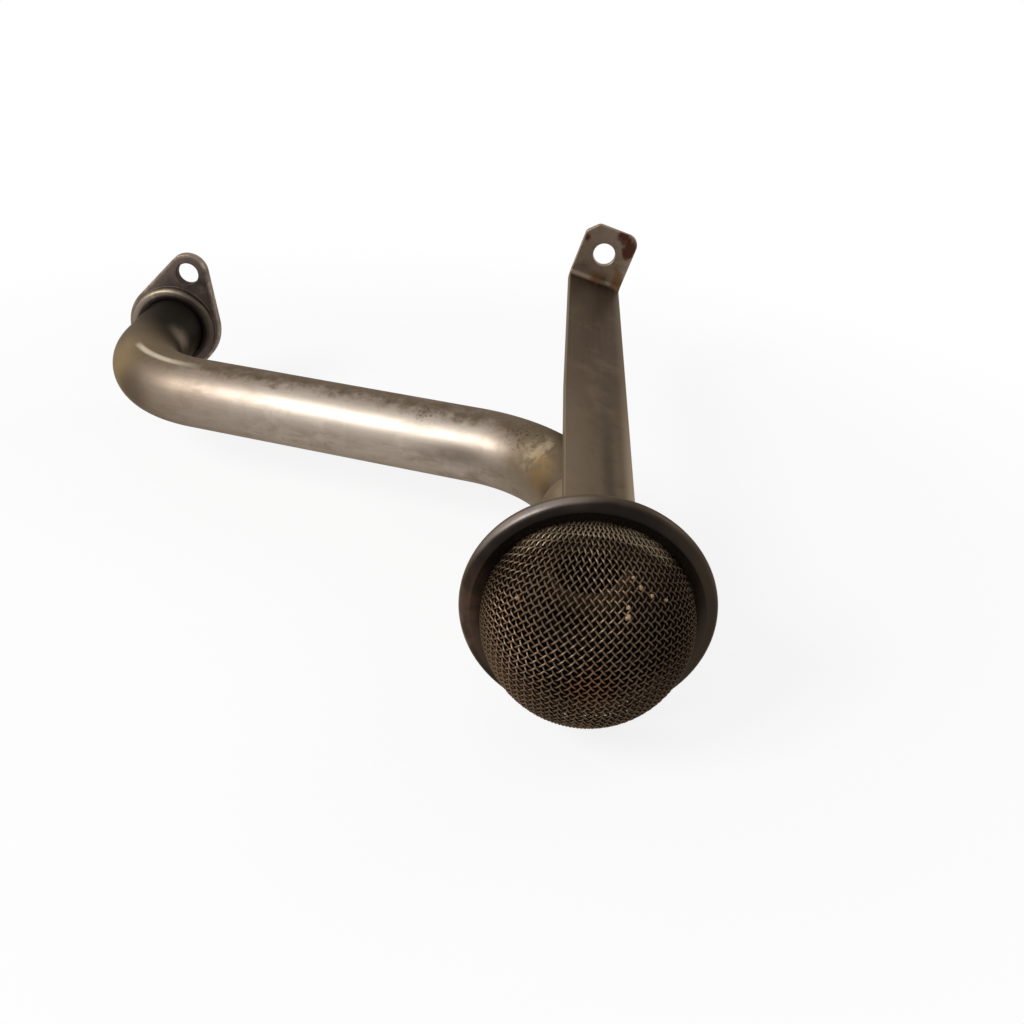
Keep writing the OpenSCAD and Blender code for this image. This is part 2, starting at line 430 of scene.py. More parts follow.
def add_studio():
    """The world, the floor just under the part, and the lamps."""
    add_world()
    add_floor(CAD_BOX[0].z - FLOOR_GAP)
    for name, (at, size, power) in LAMPS.items():
        add_lamp(name, at, size, power)


# Finishes

# How much mirror glare these dull, oily metals keep at a grazing angle
GRAZING = (0.5, 0.46, 0.42, 1.0)


def painted_crease_line(steel, along, front, height):
    """A painted highlight: a pale line along the outlet bend, close to an upright plane through the tube's
    centreline.
    """
    off_line = (0.966 * front - 0.259 * height).size()
    start = steel.fade(along, 42 * MM, 47 * MM)
    stop = steel.fade(along, 72 * MM, 58 * MM)
    return steel.fade(off_line, 0.13, 0.03) * start * stop


def tube_finish():
    """Satin steel, read along the tube as if it were straight.

    It has faint drawing lines, a painted highlight band on the upper front, brown mottling on the top and
    back, a darker brown at both bends that is partly heat tint and partly painted shade, painted shade on the
    outlet side of the main run, a dark band of painted reflection below the highlight, a painted highlight
    line on the outlet bend, stains and two painted highlights at their own places, and painted shade and
    painted reflection at the outlet end.
    """
    steel = Finish("tube_steel")
    at = steel.node("ShaderNodeAttribute", {"attribute_name": "along_tube"}, out="Vector")
    along = steel.axis(at, "X")
    front = steel.axis(at, "Y") / TUBE_R
    height = steel.axis(at, "Z") / TUBE_R
    cloud = steel.noise(at, 60, 4, 0.6)
    smear = steel.noise(steel.stretched(at, (0.45, 1, 1)), 190, 5, 0.62, 0.4)
    mottle = steel.noise(at, 260, 6, 0.68, 0.3)
    pebble = steel.noise(at, 900, 4, 0.6)
    lines = steel.noise(steel.stretched(at, (0.05, 1, 1)), 1500, 3, 0.6)
    main_run = steel.fade(along, 64 * MM, 104 * MM) * steel.fade(along, 178 * MM, 156 * MM)
    # Painted highlight: a paler band on the upper front of the main run that widens the lamp's highlight
    highlight_band = main_run * steel.fade(0.82 * front + 0.57 * height + 0.3 * (smear - 0.5), 0.82, 1.0)
    # Painted shade: darker from the start of the main run back towards the outlet
    outlet_side_shade = steel.fade(along, 104 * MM, 64 * MM)
    # Both bends are a darker brown: partly heat tint, partly painted shade
    inlet_bend_tint_and_shade = steel.fade(along + 14 * MM * (cloud - 0.5), 150 * MM, 180 * MM)
    outlet_bend_tint_and_shade = steel.fade(along + 12 * MM * (cloud - 0.5), 72 * MM, 46 * MM)
    ragged = 0.8 * (mottle - 0.5) + 0.6 * (cloud - 0.5)
    upper = steel.fade(0.91 * height - 0.42 * front + ragged + 0.12 * inlet_bend_tint_and_shade, 0.44, 0.86)
    # Painted shade and painted reflection of the flange: the outlet end is near black
    outlet_end_shade = steel.fade(along + 11 * MM * front + 8 * MM * (cloud - 0.5), 45 * MM, 17 * MM)
    # Painted reflection: a dark band below the highlight near the inlet end
    dark_reflection_band = steel.near(steel.stretched(at, (0.3, 1, 1)), (0.3 * 153 * MM, 9.9 * MM, 1.4 * MM),
                           0.5 * MM, 5.2 * MM)
    # Painted highlight: a pale line along the outlet bend
    crease_highlight = painted_crease_line(steel, along, front, height)
    # Stains, with the pale blot by the strut and the pale patch at the outlet end as painted highlights
    stains_and_highlights = {name: steel.near(at, np.array(place) * MM, full * MM, end * MM)
             for name, (place, full, end) in TUBE_STAINS_AND_HIGHLIGHTS.items()}
    pitted = stains_and_highlights["pits_run"].greatest(stains_and_highlights["pits_bend"])
    pits = pitted * steel.fade(steel.noise(at, 1050, 4, 0.65), 0.54, 0.62)
    drawn = steel.mix(steel.fade(lines, 0.25, 0.75), paint(151, 138, 125), paint(162, 149, 136))
    colour = steel.layered(drawn, [
        (0.75 * steel.fade(smear, 0.44, 0.7), paint(126, 111, 97)),
        (0.5 * steel.fade(mottle, 0.48, 0.68), paint(172, 158, 144)),
        (0.4 * highlight_band, paint(186, 176, 165)),
        (0.5 * outlet_side_shade, paint(126, 110, 95)),
        (upper * (0.3 + 1.05 * mottle), paint(92, 76, 59)),
        (0.9 * outlet_bend_tint_and_shade * (1 - 0.7 * highlight_band), paint(107, 91, 71)),
        (inlet_bend_tint_and_shade * (0.5 + 0.36 * steel.fade(height, -0.5, 0.4)), paint(102, 86, 65)),
        (0.8 * stains_and_highlights["tan_side"], paint(148, 127, 94)),
        (0.6 * stains_and_highlights["grey_side"], paint(86, 74, 64)),
        (0.6 * dark_reflection_band * (0.5 + smear), paint(92, 79, 67)),
        # Painted highlight by the strut
        (0.8 * stains_and_highlights["highlight_blot"] * steel.fade(mottle, 0.4, 0.62), paint(176, 160, 132)),
        (0.5 * stains_and_highlights["ochre"] * steel.fade(smear, 0.4, 0.62), paint(146, 116, 74)),
        (0.8 * pits, paint(48, 37, 28)),
        (0.96 * outlet_end_shade, paint(16, 13, 10)),
        # Painted highlight on the outlet end
        (0.8 * stains_and_highlights["end_highlight"] * steel.fade(mottle, 0.2, 0.6), paint(118, 104, 88)),
        (0.8 * crease_highlight * (0.5 + mottle), paint(206, 194, 172)),
    ])
    rough = 0.41 + 0.06 * lines + 0.12 * upper + 0.16 * (smear - 0.5) + 0.12 * (mottle - 0.5) + 0.04 * outlet_side_shade
    relief = 0.3 * lines + 0.6 * mottle + 0.4 * pebble - 0.8 * pits
    return steel.surface(Base_Color=colour, Roughness=rough, Metallic=0.92 - 0.2 * upper,
                         Specular_Tint=GRAZING, Normal=steel.bump(relief, 0.14, 0.12 * MM))


def tab_spots(strip, own, places):
    """Soft spots on the front face of the strut's tab."""
    return strip.spots(own, [((x * MM, TAB_FACE_Y, z * MM), r * MM) for x, z, r in places])


def strut_finish():
    """Grey-brown satin strip, read along the strut.

    It has faint lengthwise lines, a soft dark streak of painted shade in its lower half, a painted sheen on
    its left side, a painted highlight along its right edge, pale worn sheared walls, red rust on the tab's
    corners, and brown rust and a painted highlight along the fold.
    """
    strip = Finish("strut_steel")
    at = strip.place()
    own = strip.turned(at, RIM_CENTRE, (0, STRUT_TURN, 0))
    across = strip.axis(own, "X")
    along = strip.axis(own, "Y")
    height = strip.axis(own, "Z")
    lines = strip.noise(strip.stretched(own, (1, 0.03, 1)), 1800, 3, 0.6)
    cloud = strip.noise(at, 75, 4, 0.6)
    patchy = strip.noise(at, 240, 6, 0.66, 0.5)
    speckle = strip.noise(at, 620, 5, 0.6, 0.4)
    grain = strip.noise(at, 800, 4, 0.6)
    lower = strip.fade(along, 110 * MM, 30 * MM)
    tab = strip.fade(height, 15 * MM, 18 * MM)
    # Painted shade: a soft dark streak down the middle of the lower half
    off_middle = (across + 2 * MM * (cloud - 0.5) + 0.1 * MM).size()
    streak_shade = lower * strip.fade(off_middle, 2.6 * MM, 0.2 * MM)
    # Painted highlight along the right edge
    right_edge_highlight = strip.fade(across, 3.2 * MM, 6.2 * MM)
    # Painted sheen: the left side is paler, most in the lower half
    left_side_sheen = strip.fade(across, -1 * MM, -11 * MM) * (0.25 + 0.75 * lower)
    mark = strip.near(own, (0.3 * MM, 22 * MM, 13.6 * MM), 0.3 * MM, 1.6 * MM)
    pale_spot = strip.near(own, (1.9 * MM, TAB_FACE_Y, 15.6 * MM), 0.3 * MM, 2.2 * MM)
    # Painted highlight along the left of the fold
    fold_highlight = tab_spots(strip, own, FOLD_HIGHLIGHTS)
    ragged = 1.2 * (patchy - 0.5) + 0.9 * (speckle - 0.5)
    red_rust = strip.fade(tab_spots(strip, own, CORNER_RUST) + ragged, 0.3, 0.95)
    brown_rust = strip.fade(tab_spots(strip, own, FOLD_RUST) + ragged, 0.3, 1.0)
    rust = red_rust.greatest(brown_rust)
    facing = strip.turned(strip.node("ShaderNodeTexCoord", out="Normal"), (0, 0, 0), (0, STRUT_TURN, 0))
    wall = strip.axis(facing, "X").size().greatest(tab * (1 - strip.axis(facing, "Y").size()))
    rolled = strip.mix(strip.fade(lines, 0.3, 0.7), paint(70, 58, 47), paint(80, 67, 55))
    colour = strip.layered(rolled, [
        (0.8 * lower, paint(96, 83, 67)),
        (0.85 * tab, paint(124, 107, 92)),
        (0.5 * strip.fade(patchy, 0.45, 0.75), paint(66, 54, 43)),
        (0.35 * strip.fade(cloud, 0.5, 0.7), paint(112, 97, 80)),
        (0.9 * right_edge_highlight * (0.35 + 0.65 * lower), paint(148, 132, 112)),
        (0.6 * left_side_sheen * (1 - tab), paint(120, 104, 86)),
        (0.7 * streak_shade, paint(58, 51, 44)),
        (0.6 * mark, paint(40, 33, 27)),
        # A pale spot, and the painted highlight along the fold
        (0.4 * (pale_spot + fold_highlight).clamp(), paint(146, 130, 108)),
        (0.7 * brown_rust, paint(96, 62, 32)),
        (0.92 * red_rust, paint(62, 26, 14)),
        ((0.35 + 0.4 * tab) * strip.fade(wall, 0.25, 0.75), paint(162, 146, 126)),
    ])
    rough = 0.38 + 0.12 * lines + 0.22 * rust
    relief = 0.5 * lines + 0.4 * grain + rust * patchy
    return strip.surface(Base_Color=colour, Roughness=rough, Metallic=0.82 - 0.06 * rust,
                         Specular_Tint=GRAZING, Normal=strip.bump(relief, 0.1, 0.12 * MM))


def flange_edge(plate, width, reach, from_bolt, from_tube):
    """1 along the flange's outline, fading out a little way in from it.

    The outline is two arcs at the ears, two round the tube and four lines that touch them. The distance from
    it is the ear's radius less the way to the bolt's centre, the flange's radius less the way to the tube's
    centre, or, beside a line, the flange's radius less the part of that way that is square to the line.
    """
    slope = (FLANGE_R - EAR_R) / BOLT_REACH
    from_side = FLANGE_R - (slope * reach + math.sqrt(1 - slope ** 2) * width)
    past_side = plate.fade(reach, BOLT_REACH + 1 * MM, BOLT_REACH + 4 * MM)
    before_side = plate.fade(reach, 8 * MM, 5 * MM)
    at_ear = past_side * plate.fade(EAR_R - from_bolt, *EDGE_WEAR)
    at_side = (1 - past_side) * (1 - before_side) * plate.fade(from_side, *EDGE_WEAR)
    at_round = before_side * plate.fade(FLANGE_R - from_tube, *EDGE_WEAR)
    return at_ear.greatest(at_side).greatest(at_round)


def flange_finish():
    """Dark purple-grey stained steel: pale worn edges, a painted highlight on the collar's ridge and darker
    colour on its right, and painted shade round the tube and in the bolt holes."""
    plate = Finish("flange_steel")
    at = plate.place()
    own = plate.stretched(plate.turned(at, (0, 0, 0), (0, FLANGE_TURN, 0)), (1, 0, 1))
    reach = plate.axis(own, "Z").size()
    width = plate.axis(own, "X").size()
    ear = plate.node("ShaderNodeCombineXYZ", None, {"X": width, "Z": reach})
    from_bolt = plate.distance(ear, (0, 0, BOLT_REACH))
    from_tube = plate.distance(own)
    edge = flange_edge(plate, width, reach, from_bolt, from_tube)
    cloud = plate.noise(at, 110, 4, 0.6)
    grain = plate.noise(at, 900, 4, 0.6)
    worn = plate.fade(plate.noise(at, 260, 5, 0.65), 0.46, 0.66)
    collar = plate.fade(FLANGE_HIGH.y - plate.axis(at, "Y"), 3.2 * MM, 4.4 * MM)
    # Painted highlight on the collar's rounded ridge
    ridge_highlight = collar * plate.fade(from_tube, 11.0 * MM, 12.0 * MM)
    # Painted shade in the recess round the tube
    recess_shade = plate.fade(from_tube, 12.2 * MM, 10.6 * MM)
    # Painted shade on the walls of the bolt holes
    hole_shade = plate.fade(from_bolt, 4.0 * MM, 3.6 * MM)
    # Darker towards the right of the collar
    darker_right = plate.fade(plate.axis(at, "X") + 5 * MM * (cloud - 0.5), -2 * MM, 8 * MM)
    rubbed = plate.near(at, (9.5 * MM, FLANGE_HIGH.y - 3 * MM, 10 * MM), 1 * MM, 6 * MM)
    stained = plate.clouded(cloud, paint(70, 61, 58), paint(102, 88, 80))
    colour = plate.layered(stained, [
        (0.5 * worn, paint(112, 97, 86)),
        (0.6 * rubbed * (0.4 + 0.6 * worn), paint(134, 114, 99)),
        (0.75 * edge * (0.4 + 0.6 * worn), paint(176, 160, 143)),
        ((0.6 + 0.4 * worn) * ridge_highlight, paint(150, 136, 118)),
        (0.8 * darker_right * collar, paint(46, 38, 32)),
        (0.85 * recess_shade, paint(22, 18, 15)),
        (0.7 * hole_shade, paint(40, 34, 31)),
    ])
    return plate.surface(Base_Color=colour, Roughness=0.34 + 0.18 * cloud, Metallic=0.85,
                         Specular_Tint=GRAZING, Normal=plate.bump(grain, 0.1, 0.1 * MM))


def rim_finish():
    """Brown-black satin steel: tan towards its outer edge, painted shade on the lip, a painted glint on the
    upper left of the roll, and faint rust on the left."""
    ring = Finish("rim_steel")
    at = ring.place()
    spoke = ring.stretched(ring.turned(at, RIM_CENTRE), (1, 0, 1))
    sideways = ring.axis(spoke, "X")
    forward = RIM_CENTRE[1] - ring.axis(at, "Y")
    radius = ring.distance(spoke) / RIM_R
    cloud = ring.noise(at, 90, 4, 0.6)
    grain = ring.noise(at, 1100, 4, 0.65)
    edge = ring.fade(radius + 0.04 * (cloud - 0.5), 0.965, 1.0)
    lip = ring.fade(radius, 0.95, 0.9)
    right = ring.fade(sideways, 8 * MM, 24 * MM)
    rightwards = ring.fade(sideways, -10 * MM, 12 * MM)
    upwards = ring.fade(ring.axis(spoke, "Z"), -2 * MM, 16 * MM)
    # Painted shade on the lip, darkest at the top
    lip_shade = ring.mix(upwards, paint(60, 50, 42), paint(27, 22, 18))
    # Painted glint on the upper left of the roll
    painted_glint = ring.near(at, RIM_CENTRE + np.array([-0.53, -0.05, 0.85]) * RIM_R, 4 * MM, 18 * MM)
    painted_glint = painted_glint * ring.fade(forward, 2.0 * MM, 1.3 * MM) * ring.fade(forward, 0.1 * MM, 0.7 * MM)
    left = ring.near(at, (RIM_CENTRE[0] - RIM_R, RIM_CENTRE[1], -3 * MM), 4 * MM, 18 * MM)
    rust = left * ring.fade(ring.noise(at, 260, 4, 0.6), 0.42, 0.62)
    varnished = ring.clouded(cloud, paint(29, 24, 21), paint(42, 35, 31))
    colour = ring.layered(varnished, [
        (0.7 * right, paint(54, 45, 36)),
        (0.8 * lip * (1 - 0.6 * right), lip_shade),
        (edge * (0.75 - 0.55 * rightwards), paint(112, 96, 78)),
        (0.7 * painted_glint * (0.5 + 0.6 * cloud), paint(152, 143, 138)),
        (0.6 * left, paint(70, 54, 43)),
        (0.35 * rust, paint(84, 54, 36)),
    ])
    rough = 0.26 + 0.12 * cloud + 0.08 * grain
    return ring.surface(Base_Color=colour, Roughness=rough, Metallic=0.85 - 0.3 * rust,
                        Specular_Tint=GRAZING, Normal=ring.bump(grain + 0.6 * cloud, 0.08, 0.1 * MM))


def cup_finish():
    """Pressed steel: near black inside as painted shade, dark brown outside, and a paler neck."""
    cup = Finish("cup_steel")
    at = cup.place()
    spoke = cup.stretched(cup.turned(at, RIM_CENTRE), (1, 0, 1))
    radius = cup.distance(spoke)
    depth = cup.axis(at, "Y") - RIM_CENTRE[1]
    cloud = cup.noise(at, 90, 4, 0.6)
    grain = cup.noise(at, 800, 4, 0.6)
    outside = cup.fade(depth, 7.2 * MM, 7.7 * MM).greatest(cup.fade(radius, 21.0 * MM, 21.5 * MM))
    neck = cup.fade(depth, 10 * MM, 16 * MM)
    # Painted shade: near black inside the cup
    inside_shade = cup.clouded(cloud, paint(14, 11, 9), paint(24, 19, 15))
    dark = cup.clouded(cloud, paint(44, 37, 32), paint(66, 57, 48))
    bright = cup.clouded(cloud, paint(130, 112, 88), paint(150, 133, 108))
    colour = cup.mix(outside, inside_shade, cup.mix(neck, dark, bright))
    return cup.surface(Base_Color=colour, Roughness=0.4 + 0.16 * cloud, Metallic=0.8,
                       Specular_Tint=GRAZING, Normal=cup.bump(grain, 0.1, 0.1 * MM))


def wire_finish():
    """Varnished brown wire.

    The crowns are paler, as wear with a painted highlight, and the undersides carry painted shade. The left
    of the dome carries painted light and the cut ends at the top painted highlights, the right and the foot
    of the dome carry painted shade, and its front has a rusty patch and some painted glints.
    """
    wire = Finish("screen_wire")
    at = wire.place()
    own = wire.turned(at, DOME_CENTRE)
    across = wire.axis(own, "X")
    depth = wire.axis(own, "Y")
    height = wire.distance(own)
    cloud = wire.noise(at, 130, 4, 0.6)
    fine = wire.noise(at, 1400, 3, 0.6)
    # Paler crowns: wear with a painted highlight
    crown_wear_and_highlight = wire.fade(height + 0.3 * MM * (fine - 0.5), DOME_R - 0.3 * MM, DOME_R)
    # Painted shade on the wires' undersides
    underside_shade = wire.fade(height, DOME_R - 1.5 * WIRE_R, DOME_R - 4 * WIRE_R)
    # Painted shade at the foot of the dome
    foot_shade = wire.fade(depth, -13 * MM, -1 * MM)
    # Painted shade on the right of the dome
    right = wire.fade(across, 2 * MM, 20 * MM)
    # Painted light: the left of the dome is paler
    left = wire.fade(across, -4 * MM, -17 * MM)
    # Painted highlights on the wires' cut ends at the top
    top_end_highlight = wire.fade(depth, -4.6 * MM, -3 * MM) * wire.fade(wire.axis(own, "Z"), 14 * MM, 19 * MM)
    rusty = wire.near(at, DOME_CENTRE + np.array([0.5, -22, -1.2]) * MM, 2 * MM, 7.5 * MM)
    rusty = rusty * wire.fade(fine, 0.3, 0.6)
    # Painted glints: a few bright specks on the front of the dome
    bright = wire.near(at, DOME_CENTRE + np.array([4.5, -21.3, -4]) * MM, 2 * MM, 9 * MM)
    bright = bright * wire.fade(wire.noise(at, 700, 2, 0.5), 0.7, 0.75)
    varnished = wire.clouded(cloud, paint(60, 48, 38), paint(86, 70, 55))
    colour = wire.layered(varnished, [
        (0.6 * crown_wear_and_highlight, paint(122, 103, 82)),
        # Painted light on the left
        (0.4 * left, paint(124, 100, 79)),
        # Painted shade on the right and at the foot
        (0.66 * foot_shade.greatest(right), paint(38, 29, 22)),
        (0.6 * top_end_highlight, paint(150, 132, 108)),
        (0.45 * rusty, paint(112, 68, 38)),
        # Painted glints
        (0.8 * bright, paint(205, 198, 186)),
        (0.8 * underside_shade, paint(30, 24, 19)),
    ])
    return wire.surface(Base_Color=colour, Roughness=0.34 + 0.2 * fine, Metallic=0.88, Specular_Tint=GRAZING)


def grit_finish():
    """Dull tan crumbs."""
    grit = Finish("grit")
    speck = grit.noise(grit.place(), 2500, 3, 0.6)
    colour = grit.clouded(speck, paint(128, 100, 68), paint(180, 150, 110))
    return grit.surface(Base_Color=colour, Roughness=0.8, Metallic=0.0)


# Surfaces

def place_piece(name, mesh, material):
    """The object of a finished mesh, at the origin, riding on the only body."""
    mesh.materials.append(material)
    piece = bpy.data.objects.new(name, mesh)
    bpy.context.scene.collection.objects.link(piece)
    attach(piece, "root")
    return piece


def new_piece(name, points, faces, material):
    """A piece from points and faces, shaded smooth apart from its crisp edges."""
    mesh = bpy.data.meshes.new(name)
    mesh.from_pydata(points.tolist(), [], faces)
    mesh.shade_smooth()
    mesh.set_sharp_from_angle(angle=CRISP_ANGLE)
    return place_piece(name, mesh, material)


def unit(vectors):
    """Vectors divided by their lengths."""
    return vectors / np.linalg.norm(vectors, axis=-1, keepdims=True)


def around(steps):
    """Angles at even steps once round."""
    return np.arange(steps) * 2 * np.pi / steps


def grid_quads(rows, columns, closed, turned=False):
    """Faces between the points of a grid, all the way round each row.

    Each face goes from a point along its row and then to the next row, or the other way round if turned. In
    a closed grid the last row meets the first.
    """
    row = np.arange(rows if closed else rows - 1)[:, None]
    this_row = row * columns
    next_row = (row + 1) % rows * columns
    here = np.arange(columns)
    after = (here + 1) % columns
    corners = [this_row + here, this_row + after, next_row + after, next_row + here]
    if turned:
        corners = [corners[k] for k in (0, 3, 2, 1)]
    return np.stack(corners, axis=-1).reshape(-1, 4)


def draped_net(radius, pitch, count):
    """One quarter of a wire cloth draped on a sphere: nodes a pitch apart along both families of wires.

    The first wires are two great circles that cross at the pole. Each further node is the fourth corner of
    a rhombus: the corner behind it, mirrored in the plane through the sphere's centre and the two beside it.
    """
    nodes = np.zeros((count + 1, count + 1, 3))
    turn = np.arange(count + 1) * 2 * np.arcsin(pitch / 2 / radius)
    nothing = np.zeros_like(turn)
    nodes[:, 0] = np.column_stack([np.sin(turn), nothing, np.cos(turn)])
    nodes[0, :] = np.column_stack([nothing, np.sin(turn), np.cos(turn)])
    for row in range(2, 2 * count + 1):
        i = np.arange(max(1, row - count), min(count, row - 1) + 1)
        j = row - i
        plane = unit(np.cross(nodes[i - 1, j], nodes[i, j - 1]))
        behind = nodes[i - 1, j - 1]
        nodes[i, j] = behind - 2 * np.sum(behind * plane, axis=1, keepdims=True) * plane
    return nodes


def net_wire(quarter, family, wire, lowest):
    """One wire of the whole cloth: its directions from the dome's centre, and its places in pitches.

    The other quarters mirror the first. The directions are interpolated between the crossings, and the wire
    is kept, equally far to both sides of its middle, while it stays above the lowest height.
    """
    count = len(quarter) - 1
    net = quarter if family == 0 else quarter.transpose(1, 0, 2)
    whole = np.arange(-count, count + 1)
    along = np.arange(-count * WEAVE_STEPS, count * WEAVE_STEPS + 1) / WEAVE_STEPS
    nodes = net[np.abs(whole), abs(wire)] * 1.0
    nodes[:, family] *= np.sign(whole)
    nodes[:, 1 - family] *= np.sign(wire)
    line = unit(np.column_stack([np.interp(along, whole, nodes[:, k]) for k in range(3)]))
    middle = len(along) // 2
    reach = np.argmax(line[middle:, 2] <= lowest)
    span = slice(middle - reach + 1, middle + reach)
    return line[span], along[span]


def swept_wire(path, outward):
    """A round wire along a path, with flat ends.

    It is rings of points, each in the plane of the outward and sideways axes, at the cosine and the sine of
    the angle round the wire.
    """
    along = unit(np.gradient(path, axis=0))
    sideways = unit(np.cross(along, outward))
    across = np.cross(sideways, along)
    turn = around(WIRE_SIDES)[None, :, None]
    ring = np.cos(turn) * across[:, None] + np.sin(turn) * sideways[:, None]
    points = (path[:, None] + WIRE_R * ring).reshape(-1, 3)
    first_cap = np.arange(WIRE_SIDES)[::-1]
    last_cap = np.arange(len(points) - WIRE_SIDES, len(points))
    return points, grid_quads(len(path), WIRE_SIDES, closed=False), [first_cap, last_cap]


def wire_cloth():
    """Both families of wires over the dome and down to the brim, each riding over and under the other.

    Along a wire the distance from the sphere is the wire's radius times a cosine with one crossing per half
    wave, and the second family has the opposite sign.
    """
    radius = DOME_R - 2 * WIRE_R
    brim_y = RIM_CENTRE[1] - BRIM_T
    lowest = (DOME_CENTRE[1] - brim_y) / radius
    count = int(math.acos(lowest) * radius / WEAVE_PITCH) + SPARE_WIRES
    quarter = draped_net(radius, WEAVE_PITCH, count)
    near_axis = np.array([math.cos(WEAVE_TURN), 0, math.sin(WEAVE_TURN)])
    far_axis = np.array([-math.sin(WEAVE_TURN), 0, math.cos(WEAVE_TURN)])
    pole = np.array([0, -1.0, 0])
    axes = np.array([near_axis, far_axis, pole])
    points, faces, first = [], [], 0
    for family, sign in ((0, 1), (1, -1)):
        for wire in range(-count, count + 1):
            line, along = net_wire(quarter, family, wire, lowest)
            if len(line) < SHORTEST_WIRE:
                continue
            lift = sign * (-1) ** abs(wire) * WIRE_R * np.cos(np.pi * along)
            outward = line @ axes
            path = DOME_CENTRE + (radius + lift)[:, None] * outward
            ring_points, quads, caps = swept_wire(path, outward)
            points.append(ring_points)
            faces += (quads + first).tolist() + [(cap + first).tolist() for cap in caps]
            first += len(ring_points)
    return np.concatenate(points), faces


def tube_line(step):
    """Points of the tube's centreline, their headings and their distances along it.

    The heading turns at an even rate in each bend, and each stretch carries on from the end of the last one:
    a straight adds its length along the heading, a bend adds its radius times the change of the heading's
    sine and cosine.
    """
    stretches = [(OUTLET_LENGTH, 0), (OUTLET_BEND_R * BEND_TURN, BEND_TURN), (MAIN_LENGTH, 0),
                 (INLET_BEND_R * BEND_TURN, -BEND_TURN), (INLET_LENGTH, 0)]
    start, heading, travelled = np.zeros(2), 0.0, 0.0
    points, headings, distances = [], [], []
    for length, turn in stretches:
        t = np.linspace(0, 1, int(length / step) + 2)
        angle = heading + turn * t
        if turn:
            radius = length / turn
            x = start[0] + radius * (np.cos(heading) - np.cos(angle))
            y = start[1] - radius * (np.sin(angle) - np.sin(heading))
        else:
            x = start[0] + length * t * np.sin(heading)
            y = start[1] - length * t * np.cos(heading)
        keep = slice(1 if points else 0, None)
        points.append(np.column_stack([x, y, 0 * x])[keep])
        headings.append(angle[keep])
        distances.append((travelled + length * t)[keep])
        start, heading, travelled = np.array([x[-1], y[-1]]), angle[-1], travelled + length
    return np.concatenate(points), np.concatenate(headings), np.concatenate(distances)


def add_tube():
    """The bent tube as one smooth wall: circles carried along the centreline outside, and back inside.

    Each point keeps its distance along the tube and its offset from the centreline, sideways and upwards, so
    that the finish follows the bends.
    """
    line, heading, distance = tube_line(TUBE_STEP)
    side = np.column_stack([-np.cos(heading), -np.sin(heading), 0 * heading])
    turn = around(TUBE_SIDES)
    there_and_back = np.concatenate([np.arange(len(line)), np.arange(len(line))[::-1]])
    radius = np.repeat([TUBE_R, BORE_R], len(line))[:, None]
    sideways = radius * np.cos(turn)
    upwards = radius * np.sin(turn)
    points = line[there_and_back][:, None] + sideways[..., None] * side[there_and_back][:, None]
    points[..., 2] += upwards
    quads = grid_quads(*sideways.shape, closed=True, turned=True)
    tube = new_piece("drawn_tube", points.reshape(-1, 3), quads.tolist(), tube_finish())
    travelled = np.broadcast_to(distance[there_and_back][:, None], sideways.shape)
    place = np.stack([travelled, sideways, upwards], axis=-1)
    kept = tube.data.attributes.new("along_tube", "FLOAT_VECTOR", "POINT")
    kept.data.foreach_set("vector", place.ravel())
    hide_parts("suction_tube")


def revolved(profile, centre, steps):
    """A closed profile of radius and distance behind a centre, turned about the strainer's axis."""
    turn = around(steps)[:, None]
    r, y = np.array(profile).T
    points = np.stack([
        centre[0] + np.cos(turn) * r,
        centre[1] + 0 * turn + y,
        centre[2] + np.sin(turn) * r,
    ], axis=-1)
    return points.reshape(-1, 3), grid_quads(steps, len(profile), closed=True)


def add_screen():
    """The woven dome with its flat brim, in place of the ridged solid."""
    points, faces = wire_cloth()
    brim_out = (SCREEN_HIGH.x - SCREEN_LOW.x) / 2
    brim_in = DOME_R - 5 * WIRE_R
    section = [(brim_in, 0), (brim_out, 0), (brim_out, -BRIM_T), (brim_in, -BRIM_T)]
    brim, brim_quads = revolved(section, RIM_CENTRE, BRIM_STEPS)
    faces += (brim_quads + len(points)).tolist()
    points = np.concatenate([points, brim])
    screen = new_piece("woven_screen", points, faces, wire_finish())
    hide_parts("inlet_screen")


def dome_spot(pixel):
    """Where the camera's ray through a pixel of the photograph meets the dome."""
    right, up, forward = camera_axes()
    scale = SENSOR / CAMERA_LENS / IMAGE
    x, y = (np.array(pixel) - IMAGE / 2) * scale
    ray = unit(forward + x * right - y * up)
    offset = CAMERA_AT - DOME_CENTRE
    half = ray @ offset
    reach = -half - math.sqrt(half ** 2 - offset @ offset + DOME_R ** 2)
    return CAMERA_AT + reach * ray


def crumb_ball(rows, columns):
    """A unit ball of rings between two poles, with its faces: quads between the rings and a fan at each pole.

    A ring's height is the cosine of its tilt from the pole, and its radius is the sine.
    """
    tilt = np.linspace(0, np.pi, rows + 2)[1:-1, None]
    turn = around(columns)
    rings = np.stack([
        np.sin(tilt) * np.cos(turn),
        np.sin(tilt) * np.sin(turn),
        np.cos(tilt) + 0 * turn,
    ], axis=-1)
    points = np.concatenate([[(0, 0, 1)], rings.reshape(-1, 3), [(0, 0, -1)]])
    here = np.arange(columns)
    after = (here + 1) % columns
    quads = 1 + grid_quads(rows, columns, closed=False, turned=True)
    last = 1 + (rows - 1) * columns
    top = np.column_stack([0 * here, 1 + here, 1 + after])
    bottom = np.column_stack([0 * here + len(points) - 1, last + after, last + here])
    return points, quads, np.concatenate([top, bottom])


